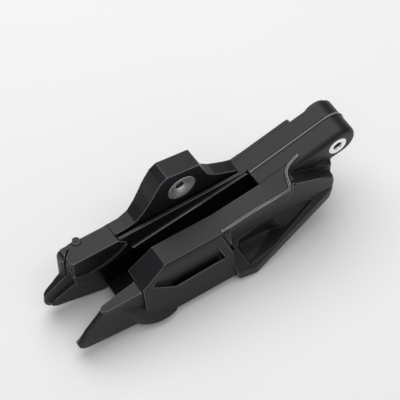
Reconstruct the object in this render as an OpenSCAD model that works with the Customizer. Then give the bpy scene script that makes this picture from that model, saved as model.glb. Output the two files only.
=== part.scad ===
// Motorcycle chain guide: an open-topped cage with a wear pad and two bolt collars.
// X runs along the chain, Y is the bolt axis direction, Z is up; the origin is the middle
// of the front collar. All sizes are in millimetres.

/* [Chain channel] */
// clear width between the lower cheeks
chan_w = 21.5; // [18:0.5:30]
// step of the cheeks in from the upper cage walls
cheek_t = 2; // [1.5:0.1:4]
// side step from the lug centre to the channel centre
chan_off = 9.75; // [0:0.25:14]
// height of the pad floor below the front bolt axis, rear end
floor_drop = 50; // [44:0.5:54]
// thickness of the pad floor
floor_t = 4.5; // [3:0.5:8]
// gap between the pad and the cage sides
pad_gap = 0.1; // [0.05:0.05:0.3]

/* [Front lug] */
// full width of the lug across the swingarm bracket
lug_w = 33.5; // [24:0.5:40]
// outside radius of the rounded lug end
lug_r = 12.8; // [11:0.2:16]
// distance from the bolt axis back to the tunnel mouth
roof_len = 62; // [50:1:75]
// rise of the tunnel roof towards the lug, in degrees
roof_tilt = 16; // [8:0.5:20]
// how far the lug round sits ahead of the bolt axis, along the roof
lug_ahead = 3; // [0:0.5:6]

/* [Cage] */
// distance from the bolt axis back to the prong tips
guide_len = 220; // [190:1:250]
// height of the cage bottom below the bolt axis
base_drop = 57; // [54:0.5:64]
// depth of the corner below the front pocket
keel_drop = 62; // [58:0.5:70]
// level of the flat top of the near box wall
box_drop = 9.5; // [7:0.5:14]
// thickness of the thin upper wall on the far side
wall_t = 2.2; // [1.6:0.1:4]
// outward lean of the near wall from its top edge to the base
draft = 9; // [4:0.5:12]
// outward flare of each rear prong
prong_flare = 6.7; // [3:0.1:9]

/* [Ear] */
// distance from the front bolt axis back to the ear bolt axis
ear_x = 113; // [100:0.5:125]
// height of the ear bolt axis above the front bolt axis
ear_z = 9; // [0:0.5:16]
// width of the ear along its bolt axis
ear_w = 15; // [10:0.5:20]

/* [Bolt collars] */
// bore of both collars, clearance for an M6 bolt
bore_d = 6.5; // [5.5:0.1:8.5]
// outside of both collar sleeves
sleeve_d = 10; // [9:0.5:12]
// outside of the front collar flange
front_flange_d = 14.5; // [12:0.5:18]
// thickness of the front collar flange
flange_t = 1.6; // [1:0.1:3]
// outside of the ear collar head
ear_head_d = 21; // [16:0.5:24]
// thickness of the ear collar head
ear_head_t = 5; // [4:0.5:7]
// depth of the cone in the ear collar head
cup_depth = 3.4; // [2:0.1:4]

/* [Show] */
// piece to draw

/* [Hidden] */
$fn = 64;
ci = chan_w / 2;                            // half width between the cheeks
cw = ci + cheek_t;                          // half width between the upper walls
lug0 = chan_off - lug_w / 2;                // near face of the lug
lug1 = chan_off + lug_w / 2;                // far face of the lug
roof1 = lug1 - 2.5;                         // far edge of the roof
rt = tan(roof_tilt);
tx = -lug_r * sin(roof_tilt);               // where the roof leaves the lug round
tz = lug_r * cos(roof_tilt);
function roof(x) = tz + rt * (x - tx);      // height of the roof line over x
rx = -roof_len;
base = -base_drop;
keel = -keel_drop;
boxz = -box_drop;
top_y = -19.4;                              // outer edge of the near box top
lip_y = -1.9;                               // inner edge of the near box top
far_y = 27;                                 // outside of the far wall
ear_y = 17;                                 // near face of the ear
ear_y1 = ear_y + ear_w;
tip = -guide_len;
fs = 0.078;                                 // slope of the floor
function under(x) = -floor_drop - floor_t + fs * (x + 181); // underside of the floor
function lean(z) = top_y - draft * (boxz - z) / (boxz - base); // near wall outside at height z

// extrude an x-z outline across y, a y-z outline along x, an x-y outline up z
module xz(y0, y1) { translate([0, y1, 0]) rotate([90, 0, 0]) linear_extrude(y1 - y0) children(); }
module yz(x0, x1) { translate([x0, 0, 0]) rotate([90, 0, 90]) linear_extrude(x1 - x0) children(); }
module xy(z0, z1) { translate([0, 0, z0]) linear_extrude(z1 - z0) children(); }

// rear prongs, side outlines
module near_prong_outline() {
  polygon([[tip, -47], [tip + 0.8, -44.6], [tip + 3, -41], [tip + 22, -25.6], [-165, -24.6],
    [-165, base], [-177, base], [tip + 8, base + 1.6], [tip + 4, base + 2.8], [tip + 1.4, base + 5], [tip, base + 8.4]]);
}
module far_prong_outline() {
  polygon([[tip - 2.5, -44], [tip - 2, -40], [tip + 15.5, -23], [tip + 20, -20], [-165, -20],
    [-165, base], [-177, base], [tip + 5, base + 0.8], [tip, base + 3], [tip - 2, base + 6]]);
}
// rear prong in plan, on the far side
module prong_plan(in_y, out_y) {
  polygon([[-165, in_y], [-177, in_y], [tip - 3, in_y + prong_flare], [tip - 3, out_y - 2], [-177, out_y],
    [-165, out_y + 0.5]]);
}
// cross-section that leans the outside of the near prong and its strip
module prong_section() {
  polygon([[-cw, 0], [-15.75, 0], [-26.25, -70], [-cw, -70]]);
}
// outline of the pad cheeks
module cheek_outline(g) {
  polygon([[-184 - g, -27.6 + g], [-183 + g, -27.4 + g], [-157 + g, -22.1 + g], [-139 + g, -38.6 + g],
    [-30, under(-30) + floor_t + 2 + g], [-8, under(-8) + floor_t + 2 + g], [-8, under(-8)],
    [-177.5 - g, under(-177.5)], [-177.5 - g, -54]]);
}

// near wall, from the strip to the front panel
module near_outline() {
  polygon([[-194.5, -32], [-196.5, -30.5], [-195.5, -28.8], [-192, -28.2], [-168, -24.3], [-168, -22.9],
    [-149, boxz], [-101, boxz], [rx, roof(rx) + 0.6],
    [-45, roof(-45) + 0.6], [-41, -1], [-12, -15.8], [-8.5, -18.4], [-6.5, -22], [-5, -28], [-4.5, -36], [-6.5, -41], [-10, -44.5],
    [-80, keel], [-94, keel + 1], [-97, base], [-176, base], [-178, -40]]);
}
// cross-section of the near wall behind the groove
module rear_section() {
  polygon([[-cw, 20], [top_y + 1, 20], [top_y + 1, boxz], [top_y, boxz - 2], [lean(base), base],
    [lean(-70), -70], [-cw, -70]]);
}
// cross-section in front of the groove: ledge wall, then a panel that spreads to the keel
module front_section() {
  polygon([[-cw, 20], [-16.2, 20], [-16.2, -31.5], [-14.4, -32.5], [-33, -54.5], [-36, -70], [-cw, -70]]);
}
module near_side() {
  intersection() {
    xz(-40, -cw) near_outline();
    union() {
      yz(-168, -97) rear_section();
      intersection() {
        yz(-97, 0) front_section();
        xy(-70, 20) polygon([[-98, 0], [-98, -30.5], [-82, -32.4], [-10, -16.8],
          [-6.5, -15.4], [-4.5, -cw], [-4.5, 0]]);
      }
      intersection() {
        yz(-198, -160) prong_section();
        xy(-70, 20) polygon([[-197, -cw], [-197, -17.5], [-194, -22], [-160, -30], [-160, -cw]]);
      }
    }
  }
  // swelling low on the near wall: a slanting cone that runs out into the prong
  intersection() {
    xz(-40, -cw) polygon([[-200, base], [-138, base], [-138, -8], [-200, -34]]);
    translate([-163, -17.5, base]) rotate([0, -44, 0]) translate([0, 0, -12]) cylinder(h = 44, r1 = 17.2, r2 = 3.4);
  }
}
// box top over the near side of the channel
module box_top() {
  xz(top_y + 1, lip_y) polygon([[-168, -22.9], [-149, boxz], [-101, boxz], [rx, roof(rx) + 0.6],
    [-45, roof(-45) + 0.6], [-45, -14], [-146, -14], [-165.5, -26.6], [-168, -26.6]]);
}
// light plate beside the roof, with a raised rim along its S-shaped edge
s_edge = [[-103, -17.6], [-91.5, -17.5], [-84, -17.4], [-76, -17.4], [-68, -17.7], [-59.5, -18.3], [-53, -19.1],
  [-50, -19.2], [-48, -18.4], [-46.7, -16.6], [-45.4, -12.5], [-43.8, -8], [-41.8, -5.4], [-39, -3.6], [-35, -2.4],
  [-30, -1.5]];
rim_w = 1.5;
rim_over = 0.5;
function s_off(w) = [for (i = [0:len(s_edge) - 1]) let (a = s_edge[max(i - 1, 0)],
  b = s_edge[min(i + 1, len(s_edge) - 1)], d = (b - a) / norm(b - a)) [s_edge[i][0] - d[1] * w, s_edge[i][1] + d[0] * w]];
function rev(v) = [for (i = [len(v) - 1:-1:0]) v[i]];
module side_plate() {
  intersection() {
    xz(-25, 2) polygon([[-104, boxz - 3], [-101, boxz], [rx, roof(rx) + 0.6], [-24, roof(-24) + 0.6],
      [-24, -14], [-104, -14]]);
    xy(-30, 30) polygon(concat([[-103, lip_y]], s_edge, [[-27, -1.3], [-60, lip_y]]));
  }
  intersection() {
    xz(-26, 3) polygon([[-104, boxz + 0.8], [-101, boxz + 0.8], [rx, roof(rx) + 1.4], [-24, roof(-24) + 1.4],
      [-24, roof(-24) - 1.6], [rx, roof(rx) - 1.6], [-101, boxz - 2.2], [-104, boxz - 2.2]]);
    xy(-31, 31) polygon(concat(s_off(-rim_over), rev(s_off(rim_w))));
  }
}

// rounded corner of the lug edge, as points of a quarter circle
edge_r = 4;
corner = [for (a = [0:15:90]) [lug0 + edge_r * (1 - sin(a)), lug_r - edge_r * (1 - cos(a))]];
seam_y = 10;
module front_block() {
  // roof body in its own tilted frame with the seam along it, then the lug round ahead of the bolt
  rotate([0, -roof_tilt, 0]) {
    translate([-roof_len * 1.05, 0, 0]) rotate([90, 0, 90]) linear_extrude(roof_len * 1.05 + lug_ahead)
      polygon(concat([[roof1, -lug_r], [roof1, lug_r], [seam_y + 0.9, lug_r], [seam_y, lug_r + 0.4],
        [seam_y - 0.9, lug_r]], corner, [for (p = rev(corner)) [p[0], -p[1]]]));
    translate([lug_ahead, 0, 0]) rotate([90, 0, 0]) rotate_extrude()
      polygon(concat([[0, -roof1], [lug_r, -roof1], [lug_r, -seam_y - 0.9], [lug_r + 0.4, -seam_y],
        [lug_r, -seam_y + 0.9]], [for (p = corner) [p[1], -p[0]]], [[0, -lug0]]));
  }
  translate([lug_ahead, 0, lug_ahead * rt]) xz(roof1 - 1, lug1) circle(r = lug_r - 2.2);
  // far half of the roof runs a little further back
  xz(cw + 0.2, roof1) polygon([[-68, roof(-68)], [-58, roof(-58)], [-58, -12], [-68, -20]]);
  // rib along the far edge of the roof
  xz(roof1 - 1, lug1 + 1) polygon([[-68, roof(-68) - 1], [-20, roof(-20) - 0.8], [-18, roof(-18) - 4], [-18, -12],
    [-68, -20]]);
}

// ear plate and its web
module ear_outline() {
  polygon([[-168, -9], [-168, -5.2], [-158, -5], [-150, -3], [-144, 2.5], [-138, 11], [-134, 18.5], [-129.5, 26],
    [-124.5, 29.5], [-99, 25.5], [-96, 18], [-92, 9], [-86, 3.6], [-80, 0.2], [-73, -3.6], [-67, roof(-67) - 0.3],
    [-60, roof(-60) - 0.5], [-60, -20], [-168, -20]]);
}
module far_side() {
  // thin wall between channel and ear pocket
  xz(cw, cw + wall_t) polygon([[-204, -12], [-200, -7], [-168, -6.2], [-120, -5.6], [rx - 4, -5.4], [rx, roof(rx) - 0.2],
    [rx, -40], [-3, -14.5], [-3, -36], [-8, -44.5], [-80, base], [-178, base], [-198, -30]]);
  // ear and web
  intersection() {
    xz(ear_y, ear_y1) ear_outline();
    xy(-30, 40) polygon([[-169, ear_y - 1], [-169, far_y + 0.5], [-158, far_y + 0.5], [-150, far_y + 1.6], [-138, ear_y1 - 0.4],
      [-132, ear_y1 + 1], [-97, ear_y1 + 1], [-92, far_y + 0.5], [-59, far_y + 0.5], [-59, ear_y - 1]]);
  }
  // outer wall down to the base
  xz(ear_y, far_y) polygon([[-203, -10], [-3, -10], [-3, -36], [-8, -44.5], [-80, base], [-178, base], [-200, -28]]);
  // floor of the ear pocket
  xz(cw, ear_y + 0.5) polygon([[-200, -34], [-3, -34], [-3, -36], [-8, -44.5], [-80, base], [-178, base], [-196, -36]]);
  xz(cw, ear_y + 0.5) polygon([[-204, -12], [-168, -8], [-168, -36], [-200, -36]]);
  xz(cw, ear_y + 0.5) polygon([[rx - 2, -12], [-3, -12], [-3, -36], [rx - 2, -36]]);
  // prong
  intersection() {
    xz(0, 40) far_prong_outline();
    xy(-70, 20) prong_plan(cw, 24.5);
  }
}
// overhanging block at the rear end of the far wall, with a split round end piece and a small boss
module far_block() {
  difference() {
    union() {
      xz(cw - 1.4, far_y) polygon([[-204.5, -8], [-203, -4.6], [-167, -4.8], [-160, -12.2], [-166, -18.7], [-173, -22.4],
        [-182, -25.2], [-192, -25.6], [-199, -23.5], [-203.5, -17]]);
      translate([-202, 22.5, -32]) cylinder(h = 24.5, r = 5.5);
      translate([-191, 26.2, -20]) cylinder(h = 16.6, r = 3.2);
    }
    // rounded inner rear corner
    xy(-40, 0) polygon([[-206, cw - 2], [-200, cw - 2], [-201.6, cw - 0.9], [-203.4, cw + 0.8], [-204.4, cw + 3], [-206, cw + 3]]);
    xy(-40, 0) polygon([[-206.5, 17.2], [-205.7, 16.3], [-192.3, 28.6], [-193.1, 29.5]]);
  }
}

module near_prong() {
  intersection() {
    xz(-40, 0) near_prong_outline();
    mirror([0, 1, 0]) xy(-70, 20) prong_plan(cw, 24.2);
    yz(-230, -160) prong_section();
  }
}
// inner bands flush with the pad cheeks, and the rails the pad stands on
module bands() {
  for (s = [0, 1]) mirror([0, s, 0]) {
    xz(ci, cw + 0.5) polygon([[-156.8, -22], [rx - 2, -6], [rx + 2, -9], [-32, -14.4], [-12, -21],
      [-10, under(-10) + floor_t + 2.1], [-30, under(-30) + floor_t + 2.1], [-138.8, -38.5]]);
    xz(ci - 1.5, cw + 0.5) polygon([[-177, under(-177)], [-8, under(-8)], [-8.2, -44.4], [-80, base], [-177, base]]);
    intersection() {
      xz(0, 30) polygon([[tip + 0.5, -48.5], [tip + 25, -30.5], [-184.2, -27.7], [-177.7, -54.2], [-177.7, base],
        [tip + 5.5, base + 2], [tip + 2, base + 4], [tip + 0.5, base + 7]]);
      xy(-71, 21) polygon([[-165, ci], [-177, ci], [tip - 3, ci + prong_flare], [tip - 3, cw + 1 + prong_flare],
        [-177, cw + 1], [-165, cw + 1]]);
    }
  }
}

module carrier() color([0.1, 0.1, 0.11]) translate([0, -chan_off, 0]) {
  difference() {
    union() {
      difference() {
        union() {
          near_side();
          near_prong();
          far_side();
          front_block();
          side_plate();
        }
        // channel through the cage
        xz(-cw, cw) polygon([[-300, 60], [-300, -100], [20, -100], [20, -36], [-3, -14.5], [-30, -14.5],
          [rx, -8.5], [rx - 0.01, 60]]);
      }
      difference() {
        box_top();
        xz(-cw, -ci + pad_gap) cheek_outline(0.15);
      }
      far_block();
      side_plate();
      bands();
      // shoulder that closes the channel beside the roof
      xz(-17, lug0 + 1) polygon([[-46, -3], [-41, -1], [-8, -17.5], [-8, -20.5], [-46, -14]]);
      // cross ribs under the pad
      for (x = [-150, -118, -86]) xz(-cw - 1, cw + 1) polygon([[x, base], [x + 3, base], [x + 3, under(x + 3)], [x, under(x)]]);
    }
    // pocket in the near box wall: open face, then a slot behind the lower skin
    xz(-45, top_y - 0.6) polygon([[-155, -15.5], [-110, -15.5], [-103, -34.6], [-143, -35.9], [-160, -25]]);
    yz(-145, -107) polygon([[top_y - 0.6, -30], [lean(-35) + 2, -30], [lean(-46) + 2, -46], [top_y - 0.6, -46]]);
    // groove between the box wall and the front panel
    xz(-45, -16.5) polygon([[-104, -12], [-102, -12], [-92.5, -38], [-94.5, -39.5]]);
    // shallow three-cornered pocket in the front panel
    intersection() {
      xz(-45, 0) polygon([[-90.5, -38.5], [-87, -34.6], [-72, -33.6], [-32, -33.2], [-24, -35], [-64, -48], [-86, -51]]);
      yz(-97, -20) polygon([[-14, -34.5], [-28, -54], [-50, -55], [-50, -28], [-14, -28]]);
    }
    // collar seats
    rotate([90, 0, 0]) {
      translate([0, 0, -60]) cylinder(h = 120, d = sleeve_d);
      translate([0, 0, -lug0 - flange_t]) cylinder(h = 20, d = front_flange_d);
      translate([-ear_x, ear_z, -60]) cylinder(h = 120, d = sleeve_d);
      translate([-ear_x, ear_z, -ear_y - ear_head_t]) cylinder(h = 60, d = ear_head_d);
    }
  }
}

module pad() color([0.03, 0.03, 0.03]) translate([0, -chan_off, 0]) {
  // cheeks either side of the channel
  for (s = [0, 1]) mirror([0, s, 0]) xz(ci, cw - pad_gap) cheek_outline(0);
  // floor
  xz(-ci - 0.5, ci + 0.5) polygon([[-177.5, under(-177.5)], [-8, under(-8)], [-8, under(-8) + floor_t],
    [-177.5, under(-177.5) + floor_t]]);
}

module front_bush() color([0.8, 0.8, 0.8]) translate([0, -chan_off, 0]) rotate([90, 0, 0]) difference() {
  union() {
    translate([0, 0, -lug1]) cylinder(h = lug_w, d = sleeve_d);
    translate([0, 0, -lug0 - flange_t]) cylinder(h = flange_t, d = front_flange_d);
  }
  translate([0, 0, -lug1 - 1]) cylinder(h = lug_w + 2, d = bore_d);
}

module ear_bush() color([0.8, 0.8, 0.8]) translate([-ear_x, -chan_off, ear_z]) rotate([90, 0, 0]) difference() {
  union() {
    translate([0, 0, -ear_y1]) cylinder(h = ear_w, d = sleeve_d);
    translate([0, 0, -ear_y - ear_head_t]) cylinder(h = ear_head_t, d = ear_head_d);
  }
  translate([0, 0, -ear_y1 - 1]) cylinder(h = ear_w + 2, d = bore_d);
  translate([0, 0, -ear_y - cup_depth]) cylinder(h = cup_depth + 0.01, d1 = bore_d + 0.6, d2 = ear_head_d - 2.4);
}

carrier();
pad();
front_bush();
ear_bush();
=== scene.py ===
import math
import bpy
import bmesh
import numpy as np
from mathutils import Matrix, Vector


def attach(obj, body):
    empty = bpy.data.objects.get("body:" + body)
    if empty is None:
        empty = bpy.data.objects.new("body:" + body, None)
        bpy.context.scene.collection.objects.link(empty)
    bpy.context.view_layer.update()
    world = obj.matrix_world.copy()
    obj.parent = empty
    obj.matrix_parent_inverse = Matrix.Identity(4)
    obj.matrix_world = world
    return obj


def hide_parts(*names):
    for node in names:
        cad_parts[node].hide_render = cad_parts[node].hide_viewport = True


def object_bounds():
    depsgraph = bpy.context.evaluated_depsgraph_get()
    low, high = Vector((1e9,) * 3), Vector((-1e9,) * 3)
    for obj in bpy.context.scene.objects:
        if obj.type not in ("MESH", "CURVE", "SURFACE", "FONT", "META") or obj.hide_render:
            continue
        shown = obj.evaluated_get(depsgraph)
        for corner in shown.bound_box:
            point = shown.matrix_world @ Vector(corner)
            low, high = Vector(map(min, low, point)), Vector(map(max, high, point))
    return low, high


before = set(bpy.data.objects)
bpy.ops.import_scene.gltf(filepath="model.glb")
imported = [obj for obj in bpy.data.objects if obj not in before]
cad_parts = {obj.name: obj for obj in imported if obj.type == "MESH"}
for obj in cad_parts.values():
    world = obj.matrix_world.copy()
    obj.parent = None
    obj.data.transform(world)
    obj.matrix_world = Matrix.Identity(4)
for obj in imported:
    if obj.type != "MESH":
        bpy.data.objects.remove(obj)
cad_box = [list(c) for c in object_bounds()]

# Carrier: the moulded cage that bolts to the swingarm and straddles the chain.
# Injection-moulded black nylon with a spark-eroded, faintly glossy skin, one piece,
# so every outside edge has the small round that the mould tool leaves.


def linear(hex_code):
    """sRGB hex to linear: ((c + 0.055) / 1.055) ** 2.4 above 0.04045, c / 12.92 below."""
    c = np.array([int(hex_code[i:i + 2], 16) for i in (0, 2, 4)]) / 255
    return (*np.where(c <= 0.04045, c / 12.92, ((c + 0.055) / 1.055) ** 2.4).tolist(), 1.0)


def add_node(material, kind, sockets=None, **settings):
    """Adds one node, sets its properties, then gives each named input a value or a link."""
    tree = material.node_tree
    node = tree.nodes.new(kind)
    for key, value in settings.items():
        setattr(node, key, value)
    for key, value in (sockets or {}).items():
        if isinstance(value, bpy.types.NodeSocket):
            tree.links.new(value, node.inputs[key])
        else:
            node.inputs[key].default_value = value
    return node


def new_material(name):
    """A material with nodes, and its Principled shader."""
    material = bpy.data.materials.new(name)
    material.use_nodes = True
    return material, material.node_tree.nodes["Principled BSDF"]


def grain(material, shader, size_mm, depth_mm, distortion=0.0):
    """Bump of a fine noise on object coordinates, one cell every size_mm and depth_mm deep."""
    where = add_node(material, "ShaderNodeTexCoord").outputs["Object"]
    noise = add_node(material, "ShaderNodeTexNoise",
                     {"Vector": where, "Scale": 1000 / size_mm, "Detail": 2.0,
                      "Roughness": 0.6, "Distortion": distortion})
    bump = add_node(material, "ShaderNodeBump",
                    {"Height": noise.outputs["Fac"], "Strength": 1.0, "Distance": depth_mm / 1000})
    material.node_tree.links.new(bump.outputs["Normal"], shader.inputs["Normal"])
    return noise


def prism(bm, plan_mm, low_mm, high_mm):
    """A closed block whose outline in X and Y is plan_mm, from height low_mm to high_mm."""
    plan = np.array(plan_mm, float)
    n = len(plan)
    rings = [np.column_stack([plan, np.full(n, float(z))]) / 1000 for z in (low_mm, high_mm)]
    low, high = ([bm.verts.new(p) for p in ring.tolist()] for ring in rings)
    sides = [(low[k], low[(k + 1) % n], high[(k + 1) % n], high[k]) for k in range(n)]
    faces = [bm.faces.new(f) for f in [low[::-1], high, *sides]]
    bmesh.ops.recalc_face_normals(bm, faces=faces)


def bead(bm, path_mm, radius_mm, around=8):
    """A closed round bar along a path that runs mainly in X and Z:
    centre + radius (cos a n + sin a Y), where n = path direction x Y."""
    path = np.array(path_mm, float)
    along = np.gradient(path, axis=0)
    along /= np.linalg.norm(along, axis=1)[:, None]
    normal = np.cross(along, [0, 1, 0])
    a = np.linspace(0, 2 * np.pi, around, endpoint=False)[None, :, None]
    spokes = np.cos(a) * normal[:, None] + np.sin(a) * np.array([0, 1, 0])
    points = (path[:, None] + radius_mm * spokes) / 1000
    rings = [[bm.verts.new(p) for p in ring] for ring in points.tolist()]
    loops = [rings[0][::-1], rings[-1]]
    loops += [(r[k], r[(k + 1) % around], q[(k + 1) % around], q[k])
              for r, q in zip(rings, rings[1:]) for k in range(around)]
    bmesh.ops.recalc_face_normals(bm, faces=[bm.faces.new(f) for f in loops])


def baked(piece):
    """Puts the result of the piece's modifiers into its mesh."""
    evaluated = piece.evaluated_get(bpy.context.evaluated_depsgraph_get())
    whole = bpy.data.meshes.new_from_object(evaluated)
    piece.modifiers.clear()
    piece.data = whole


def edge_ends(mesh):
    """Two arrays with the point numbers at either end of every edge."""
    pairs = np.empty(len(mesh.edges) * 2, int)
    mesh.edges.foreach_get("vertices", pairs)
    return pairs.reshape(-1, 2).T


def point_values(mesh, key):
    """Every point's place ("co", in m) or its normal, one row each."""
    values = np.empty(len(mesh.vertices) * 3)
    mesh.vertices.foreach_get(key, values)
    return values.reshape(-1, 3)


def blend_in(value, start, end):
    """Smooth step: 0 at start, 1 at end, 3 t^2 - 2 t^3 between them."""
    t = np.clip((value - start) / (end - start), 0, 1)
    return t * t * (3 - 2 * t)


def ease(mesh, spots_mm, passes):
    """Rounds the surface near each spot (x, y, z, reach). In each pass a point moves
    w / 2 of the way to the mean of its neighbours, with w = (1 - (distance / reach)^2)^2.
    The seat of the front collar, within bore_seat mm of its axis, stays as it is."""
    bore_seat, eased_from, least = 8.2, 9.6, 1e-3
    at = point_values(mesh, "co")
    weight = np.zeros(len(at))
    for x, y, z, reach in spots_mm:
        distance = np.linalg.norm(at * 1000 - (x, y, z), axis=1) / reach
        weight = np.maximum(weight, np.clip(1 - distance ** 2, 0, 1) ** 2)
    weight *= blend_in(np.hypot(at[:, 0], at[:, 2]) * 1000, bore_seat, eased_from)
    a, b = edge_ends(mesh)
    near = (weight[a] > least) | (weight[b] > least)
    used, ends = np.unique(np.concatenate([a[near], b[near]]), return_inverse=True)
    a, b = ends.reshape(2, -1)
    n = len(used)
    local, half = at[used], weight[used][:, None] * 0.5
    count = np.bincount(np.concatenate([a, b]), minlength=n)[:, None]
    for _ in range(passes):
        total = np.column_stack([np.bincount(a, local[b, k], n) + np.bincount(b, local[a, k], n)
                                 for k in range(3)])
        local = local + half * (total / count - local)
    at[used] = local
    mesh.vertices.foreach_set("co", at.ravel())
    mesh.update()


def mark_ridges(mesh, highlight_lines_mm):
    """Stores how far each point stands out from its neighbours, as the mean over its edges of
    normal . (point - neighbour) / edge length, which is above 0 on outside edges and 0 on flats.
    It is averaged with its neighbours twice. Within 1.2 mm of the highlight lines, each a list
    of points in mm, it is 2.6 times as high, and the gain fades out at 2.5 mm. The stored value
    sets where the nylon is painted paler grey, a painted highlight on the edges."""
    full_gain_mm, no_gain_mm, gain = 1.2, 2.5, 1.6
    at, out, (a, b) = point_values(mesh, "co"), point_values(mesh, "normal"), edge_ends(mesh)
    away = at[a] - at[b]
    away /= np.linalg.norm(away, axis=1)[:, None] + 1e-12
    n = len(at)
    count = np.maximum(np.bincount(a, minlength=n) + np.bincount(b, minlength=n), 1)
    total = np.bincount(a, (out[a] * away).sum(1), n) - np.bincount(b, (out[b] * away).sum(1), n)
    ridge = total / count
    for _ in range(2):
        around = (np.bincount(a, ridge[b], n) + np.bincount(b, ridge[a], n)) / count
        ridge = (ridge + around) / 2
    near_highlight_line = np.zeros(n)
    for line in highlight_lines_mm:
        for start, end in zip(line, line[1:]):
            start, run = np.array(start, float), np.subtract(end, start)
            t = np.clip((at * 1000 - start) @ run / (run @ run), 0, 1)
            gap = np.linalg.norm(at * 1000 - start - t[:, None] * run, axis=1)
            near_highlight_line = np.maximum(near_highlight_line, 1 - blend_in(gap, full_gain_mm, no_gain_mm))
    ridge *= 1 + gain * near_highlight_line
    stored = mesh.attributes.new("ridge", "FLOAT", "POINT")
    stored.data.foreach_set("value", np.clip(ridge, 0, 1))


def moulded_copy(node, name, cell_mm, passes, share, extras=None, finish=None, highlight_lines_mm=()):
    """The CAD node's surface with its loose triangles merged, redrawn on cells of cell_mm and
    eased over its neighbours passes times, which rounds each edge and corner by about a cell,
    as a mould does. extras adds small blocks and beads before that, and finish works on the
    fine skin after it. Only share of the faces is kept, and those on flats go first."""
    same_point_m = 2e-6
    bm = bmesh.new()
    bm.from_mesh(node.data)
    bmesh.ops.remove_doubles(bm, verts=bm.verts, dist=same_point_m)
    if extras:
        extras(bm)
    mesh = bpy.data.meshes.new(name)
    bm.to_mesh(mesh)
    bm.free()
    mesh.shade_smooth()
    piece = bpy.data.objects.new(name, mesh)
    bpy.context.scene.collection.objects.link(piece)
    cells = piece.modifiers.new("mould_skin", "REMESH")
    cells.mode = "VOXEL"
    cells.voxel_size = cell_mm / 1000
    cells.use_smooth_shade = True
    soften = piece.modifiers.new("mould_rounds", "SMOOTH")
    soften.factor = 0.5
    soften.iterations = passes
    baked(piece)
    if finish:
        finish(piece.data)
    mark_ridges(piece.data, highlight_lines_mm)
    fewer = piece.modifiers.new("fewer_faces", "DECIMATE")
    fewer.ratio = share
    baked(piece)
    return piece


colour_a, colour_b, mixed = 6, 7, 2  # a colour Mix node's two inputs and its output, by number
nylon, nylon_shader = new_material("moulded_black_nylon")  # dark grey with a soft broad sheen
# The spark-eroded grain is drawn 0.9 mm wide, coarser than a real one, so that it shows.
speck = grain(nylon, nylon_shader, size_mm=0.9, depth_mm=0.035)
shade = add_node(nylon, "ShaderNodeMix",
                 {"Factor": speck.outputs["Fac"],
                  colour_a: linear("121316"), colour_b: linear("1a1b1f")}, data_type="RGBA")
# Painted highlight: outside edges, and most of all those near the highlight lines, are painted
# paler grey; they are also glossier.
ridge = add_node(nylon, "ShaderNodeAttribute", attribute_name="ridge")
painted_highlight = add_node(nylon, "ShaderNodeMapRange",
                  {"Value": ridge.outputs["Fac"], "From Min": 0.035, "From Max": 0.17})
highlighted_colour = add_node(nylon, "ShaderNodeMix",
                 {"Factor": painted_highlight.outputs["Result"],
                  colour_a: shade.outputs[mixed], colour_b: linear("8e8f93")}, data_type="RGBA")
gloss = add_node(nylon, "ShaderNodeMapRange",
                 {"Value": painted_highlight.outputs["Result"], "To Min": 0.42, "To Max": 0.26})
nylon.node_tree.links.new(highlighted_colour.outputs[mixed], nylon_shader.inputs["Base Color"])
nylon.node_tree.links.new(gloss.outputs["Result"], nylon_shader.inputs["Roughness"])
nylon_shader.inputs["IOR"].default_value = 1.46
nylon_shader.inputs["Specular IOR Level"].default_value = 0.36

# The parting line lies in one plane and runs round the lug as an arc.
seam_y, lug_x, lug_z, seam_radius = 0.25, 3, 0.86, 12.35


def cage_extras(bm):
    """Small forms that the mould skin then takes over, all in mm."""
    # filler in the slot beside the round end, so only a shallow seam shows
    prism(bm, [(-203.9, 9.8), (-203.2, 8.2), (-193.2, 17.2), (-194.2, 17.6)], -33, -8.6)
    prism(bm, [(-200.4, 11.9), (-199.4, 10.4), (-193.2, 16.4), (-194.0, 17.6)], -25, -6.2)
    prism(bm, [(-199.4, 14.6), (-197.4, 12.2), (-192.4, 16.6), (-193.2, 17.7), (-197.2, 17.7)],
          -25, -4.7)
    # web between the lug and the shoulder below it
    prism(bm, [(-22, -9), (-22, -16), (-11, -21), (-6.0, -20.5), (-5.0, -9)], -27, -10.5)
    # rubbing strip on top of the near prong, proud of its side
    prism(bm, [(-197.4, -25.2), (-199.4, -27.2), (-199.0, -29.6), (-196.4, -30.9),
               (-169, -31), (-169, -20.8), (-177, -22.1)], -28, -23.9)
    # broad parting line along the roof and round the lug, centred just under the surface
    lug_arc = [(lug_x + seam_radius * math.cos(a), seam_y, lug_z + seam_radius * math.sin(a))
               for a in np.radians(np.linspace(106, -40, 40))]
    bead(bm, [(-61, seam_y, -4.63), *lug_arc], 1.15)
    # bead along the lower edge of the far block
    bead(bm, [(-202, 2.2, -18.5), (-198.8, 1.5, -22.6), (-192, 1.3, -24.8), (-182, 1.3, -24.3),
              (-173, 1.3, -21.5), (-166, 1.3, -17.8), (-161, 1.6, -12.4)], 1.2)


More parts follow.
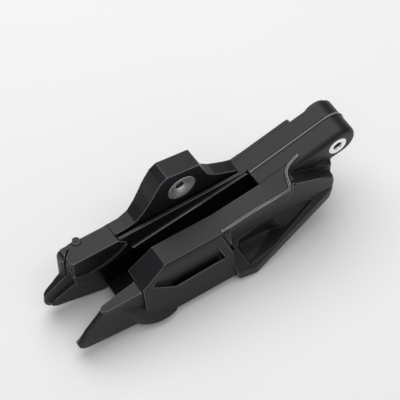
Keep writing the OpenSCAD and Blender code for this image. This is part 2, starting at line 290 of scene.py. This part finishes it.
def cage_finish(mesh):
    """Deepens the front pocket: y goes from its slanted floor, y = -26.3 + 0.7167 (z + 38),
    towards deep, times smooth steps in x and z that end at the pocket's outline.
    Then rounds the shoulder and prong tips, the strip's end and the slanted prong top."""
    deep, floor_skin = -23.7, 1.0
    at = point_values(mesh, "co")
    x, y, z = at.T * 1000
    floor = -26.3 + 0.7167 * (z + 38)
    inside = (blend_in(x, -90, -85) * blend_in(x, -46, -64)
              * blend_in(z, -34.2, -36.6) * blend_in(z, -50.5, -46))
    at[:, 1] += np.where(np.abs(y - floor) < floor_skin, inside * (deep - floor), 0) / 1000
    mesh.vertices.foreach_set("co", at.ravel())
    shoulder = [(-7, -21, -19, 16), (-8, -25, -36, 9)]
    prong_tips = [(-216, -29, -44, 8), (-221, 10, -44, 7)]
    strip_end = [(-198, -28, -26, 4)]
    prong_top = [(-202 - 3 * k, -27.5 - 0.4 * k, -30 - 3 * k, 6) for k in range(6)]
    ease(mesh, shoulder + prong_tips, 220)
    ease(mesh, strip_end, 30)
    ease(mesh, prong_top, 60)


# lines along which the painted edge highlight is made stronger, in mm
s_rim = [(-103, -26.5, -8.7), (-88, -26.7, -6.8), (-70, -26.7, -4.2), (-50, -26.8, 0.6),
         (-45, -22.5, 1.6), (-42.5, -15.3, 2.6), (-37, -12, 4), (-30.5, -11, 5.8)]
far_cheek_top = [(-156, 2, -21.9), (-137, 1.7, -17.8), (-70, 1.5, -11.5)]
parting_line = [(-61, seam_y, -3.8), (0, seam_y, 13.6), (8, seam_y, 13), (14, seam_y, 7),
                (15.9, seam_y, 0)]
cage = moulded_copy(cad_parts["carrier"], "cage", cell_mm=0.3, passes=14, share=0.095,
                    extras=cage_extras, finish=cage_finish,
                    highlight_lines_mm=[s_rim, far_cheek_top, parting_line])
cage.data.materials.append(nylon)
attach(cage, "root")
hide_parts("carrier")

# Wear pad: the channel-shaped insert that the chain rubs on, seated on the cage's rails.
# Solid black polyurethane, duller and darker than the cage, moulded in one piece.

polyurethane, pad_shader = new_material("moulded_black_polyurethane")  # near black, no sheen
# Its faint mottle is drawn 1.2 mm wide, coarser than a real one, so that it shows.
grain(polyurethane, pad_shader, size_mm=1.2, depth_mm=0.02, distortion=0.3)
# The pad's own black, made darker still as painted shade for the deep shadow inside the channel.
pad_shader.inputs["Base Color"].default_value = linear("030303")
pad_shader.inputs["Roughness"].default_value = 0.55
pad_shader.inputs["IOR"].default_value = 1.5
pad_shader.inputs["Specular IOR Level"].default_value = 0.15

pad = moulded_copy(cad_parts["pad"], "wear_pad", cell_mm=0.4, passes=3, share=0.18)
pad.data.materials.append(polyurethane)
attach(pad, "root")
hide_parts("pad")

# Bolt collars: the two metal sleeves that take the bolt load off the plastic.
# Turned aluminium, natural finish, pressed into the cage with their flanges showing.


def lathe(name, profile_mm, centre_mm, turns=128):
    """A closed profile (radius, y) spun round the Y axis: x = r cos t, z = r sin t, y = y, in mm
    from centre_mm. Each point stores its radius as radius_mm, for the tool marks, and the
    faces at the smallest radius, which are the bore, take the second material."""
    r, y = np.array(profile_mm, float).T
    n = len(r)
    t = np.linspace(0, 2 * np.pi, turns, endpoint=False)
    grid = np.stack([np.outer(np.cos(t), r), np.broadcast_to(y, (turns, n)),
                     np.outer(np.sin(t), r)], -1)
    points = (grid.reshape(-1, 3) + np.array(centre_mm)) / 1000
    i, j = (a.ravel() for a in np.meshgrid(np.arange(turns), np.arange(n), indexing="ij"))
    i2, j2 = (i + 1) % turns, (j + 1) % n
    faces = np.stack([i * n + j, i * n + j2, i2 * n + j2, i2 * n + j], -1)
    mesh = bpy.data.meshes.new(name)
    mesh.from_pydata(points.tolist(), [], faces.tolist())
    bm = bmesh.new()
    bm.from_mesh(mesh)
    bmesh.ops.recalc_face_normals(bm, faces=bm.faces)
    bm.to_mesh(mesh)
    bm.free()
    bore_faces = (r == r.min()) & (np.roll(r, -1) == r.min())
    mesh.polygons.foreach_set("material_index", np.tile(bore_faces, turns).astype(np.int32))
    stored = mesh.attributes.new("radius_mm", "FLOAT", "POINT")
    stored.data.foreach_set("value", np.tile(r, turns))
    mesh.shade_smooth()
    piece = bpy.data.objects.new(name, mesh)
    bpy.context.scene.collection.objects.link(piece)
    edges = piece.modifiers.new("turned_edges", "BEVEL")
    edges.width = 0.00025  # a quarter of a millimetre
    edges.segments = 2
    edges.limit_method = "ANGLE"
    edges.angle_limit = math.radians(30)
    edges.harden_normals = True
    return piece


aluminium, metal_shader = new_material("turned_aluminium")  # bright, with rings from the lathe
# The tool marks are 0.35 mm apart, coarser than the real ones, so that they show.
radius_mm = add_node(aluminium, "ShaderNodeAttribute", attribute_name="radius_mm").outputs["Fac"]
rings = add_node(aluminium, "ShaderNodeTexNoise",
                 {"W": radius_mm, "Scale": 1 / 0.35, "Detail": 1.0}, noise_dimensions="1D")
spread = add_node(aluminium, "ShaderNodeMapRange",
                  {"Value": rings.outputs["Fac"], "To Min": 0.34, "To Max": 0.5})
cut = add_node(aluminium, "ShaderNodeBump",
               {"Height": rings.outputs["Fac"], "Distance": 0.00004})
aluminium.node_tree.links.new(cut.outputs["Normal"], metal_shader.inputs["Normal"])
aluminium.node_tree.links.new(spread.outputs["Result"], metal_shader.inputs["Roughness"])
metal_shader.inputs["Base Color"].default_value = linear("fafafa")
metal_shader.inputs["Metallic"].default_value = 1.0

drilled, drilled_shader = new_material("drilled_aluminium")  # the bores: rougher, no rings, and painted dark grey as painted shade inside the holes
# The drill's scores are drawn as 0.67 mm blotches, coarser than real ones, so that they show.
where = add_node(drilled, "ShaderNodeTexCoord").outputs["Object"]
scores = add_node(drilled, "ShaderNodeTexNoise",
                  {"Vector": where, "Scale": 1500.0, "Detail": 2.0})
dull = add_node(drilled, "ShaderNodeMapRange",
                {"Value": scores.outputs["Fac"], "To Min": 0.45, "To Max": 0.65})
drilled.node_tree.links.new(dull.outputs["Result"], drilled_shader.inputs["Roughness"])
# painted shade: the bores' base colour is far darker than the aluminium itself
drilled_shader.inputs["Base Color"].default_value = linear("5a5a5a")
drilled_shader.inputs["Metallic"].default_value = 1.0

bore, sleeve = 3.25, 5  # radii of the clearance hole and of both sleeves, in mm
low, high = -16.75, 16.75  # the ends of the front collar along Y
flange, under_flange = 7.25, low + 1.6
chamfer, chamfer_end = 3.75, low + 1.3  # its radius at the mouth, and where it meets the bore
front = lathe("front_collar",
              [(chamfer, low), (flange, low), (flange, under_flange), (sleeve, under_flange),
               (sleeve, high), (bore, high), (bore, chamfer_end)], (0, 0, 0))
near, far = 7.25, 22.25  # the ends of the ear collar along Y
head, under_head = 10.5, near + 5
cone, cone_foot = 9.9, 3.4  # radii of the cone for the bolt head, at its mouth and at its foot
cone_end, bore_start = near + 2.3, near + 2.6
ear_axis = (-113, 0, 9)
ear = lathe("ear_collar",
            [(cone_foot, cone_end), (cone, near), (head, near), (head, under_head),
             (sleeve, under_head), (sleeve, far), (bore, far), (bore, bore_start)], ear_axis)
for collar, node in ((front, "front_bush"), (ear, "ear_bush")):
    collar.data.materials.append(aluminium)
    collar.data.materials.append(drilled)
    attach(collar, "root")
    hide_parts(node)

# Studio: a sheet of white paper under the part, a large soft box overhead and a little behind,
# a weak strip in front, a weak card at the side, pale surroundings, and the camera at the
# photograph's angle.

middle = (-0.1, 0, 0)  # about the middle of the part, in m
clear_of_part = 0.0004
bpy.ops.mesh.primitive_plane_add(size=6, location=(middle[0], 0, cad_box[0][2] - clear_of_part))
table = bpy.context.object
table.name = "table"
paper, paper_shader = new_material("matt_white_paper")  # almost white, no gloss
paper_shader.inputs["Base Color"].default_value = linear("f8f8f8")
paper_shader.inputs["Roughness"].default_value = 0.9
table.data.materials.append(paper)


def soft_box(name, direction, distance, size, watts, depth=None):
    """An area light of size by depth (m) at distance along direction from the part, facing it."""
    data = bpy.data.lights.new(name, "AREA")
    data.shape = "RECTANGLE"
    data.size = size
    data.size_y = depth or size
    data.energy = watts
    lamp = bpy.data.objects.new(name, data)
    away = np.array(direction, float)
    away /= np.linalg.norm(away)
    side = np.cross([0, 1, 0], away)
    side /= np.linalg.norm(side)
    place = Matrix(np.column_stack([side, np.cross(away, side), away]).tolist()).to_4x4()
    place.translation = np.array(middle) + away * distance
    lamp.matrix_world = place
    bpy.context.scene.collection.objects.link(lamp)


soft_box("overhead_box", (0.08, 0.44, 0.88), distance=1.35, size=1.35, watts=14.5)
soft_box("front_strip", (-0.1, -0.42, 0.9), distance=1.2, size=1.2, watts=2.5, depth=0.25)
soft_box("side_card", (0.45, -0.95, 0.3), distance=1.2, size=0.7, watts=0.9)
world = bpy.data.worlds.new("surroundings")
world.use_nodes = True
sky = world.node_tree.nodes["Background"]
sky.inputs["Color"].default_value = (1, 1, 1, 1)
sky.inputs["Strength"].default_value = 0.28
bpy.context.scene.world = world

azimuth, elevation, roll = (math.radians(a) for a in (-33.67, 57.1, 0.98))
target, distance = np.array([-0.10942, -0.00975, 0.01304]), 1.0  # in m
back = np.array([math.sin(azimuth) * math.cos(elevation),
                 -math.cos(azimuth) * math.cos(elevation), math.sin(elevation)])
level_right = np.array([math.cos(azimuth), math.sin(azimuth), 0])
level_up = np.cross(back, level_right)
right = level_right * math.cos(roll) + level_up * math.sin(roll)
up = level_up * math.cos(roll) - level_right * math.sin(roll)
camera = bpy.data.objects.new("camera", bpy.data.cameras.new("camera"))
camera.data.lens = 135
camera.data.sensor_width = 36
camera.data.clip_start = 0.05
view = Matrix(np.column_stack([right, up, back]).tolist()).to_4x4()
view.translation = target + back * distance
camera.matrix_world = view
bpy.context.scene.collection.objects.link(camera)
bpy.context.scene.camera = camera
bpy.context.scene.view_settings.view_transform = "Standard"
